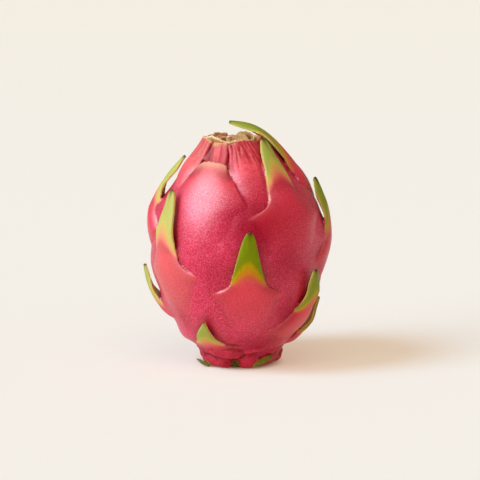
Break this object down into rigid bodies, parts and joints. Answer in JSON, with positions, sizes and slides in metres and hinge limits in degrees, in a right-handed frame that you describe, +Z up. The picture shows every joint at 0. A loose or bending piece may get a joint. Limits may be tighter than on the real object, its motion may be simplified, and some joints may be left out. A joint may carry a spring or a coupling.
{
  "type": "dragon fruit",
  "caption": "Whole ripe dragon fruit standing on its stem end: egg-shaped peel with pointed leafy scales and an open hollow at the flower end.",
  "frame": {"origin": "middle of the flat spot that the fruit rests on", "axes": "+Z up through the fruit from stem end to flower end, -Y the front, +X the front's right"},
  "size_m": [0.0908, 0.0891, 0.1163],
  "materials": {
    "peel": "waxy magenta peel, coral at the scales' feet, scales green to their dry brown tips",
    "dry_flower_rim": "dry, papery tan tissue left by the flower, brown at its torn edges",
    "stem_scar": "corky cut stem end, matt, green-brown"
  },
  "bodies": {
    "root": {"dragon_fruit": "peel"}
  },
  "joints": []
}
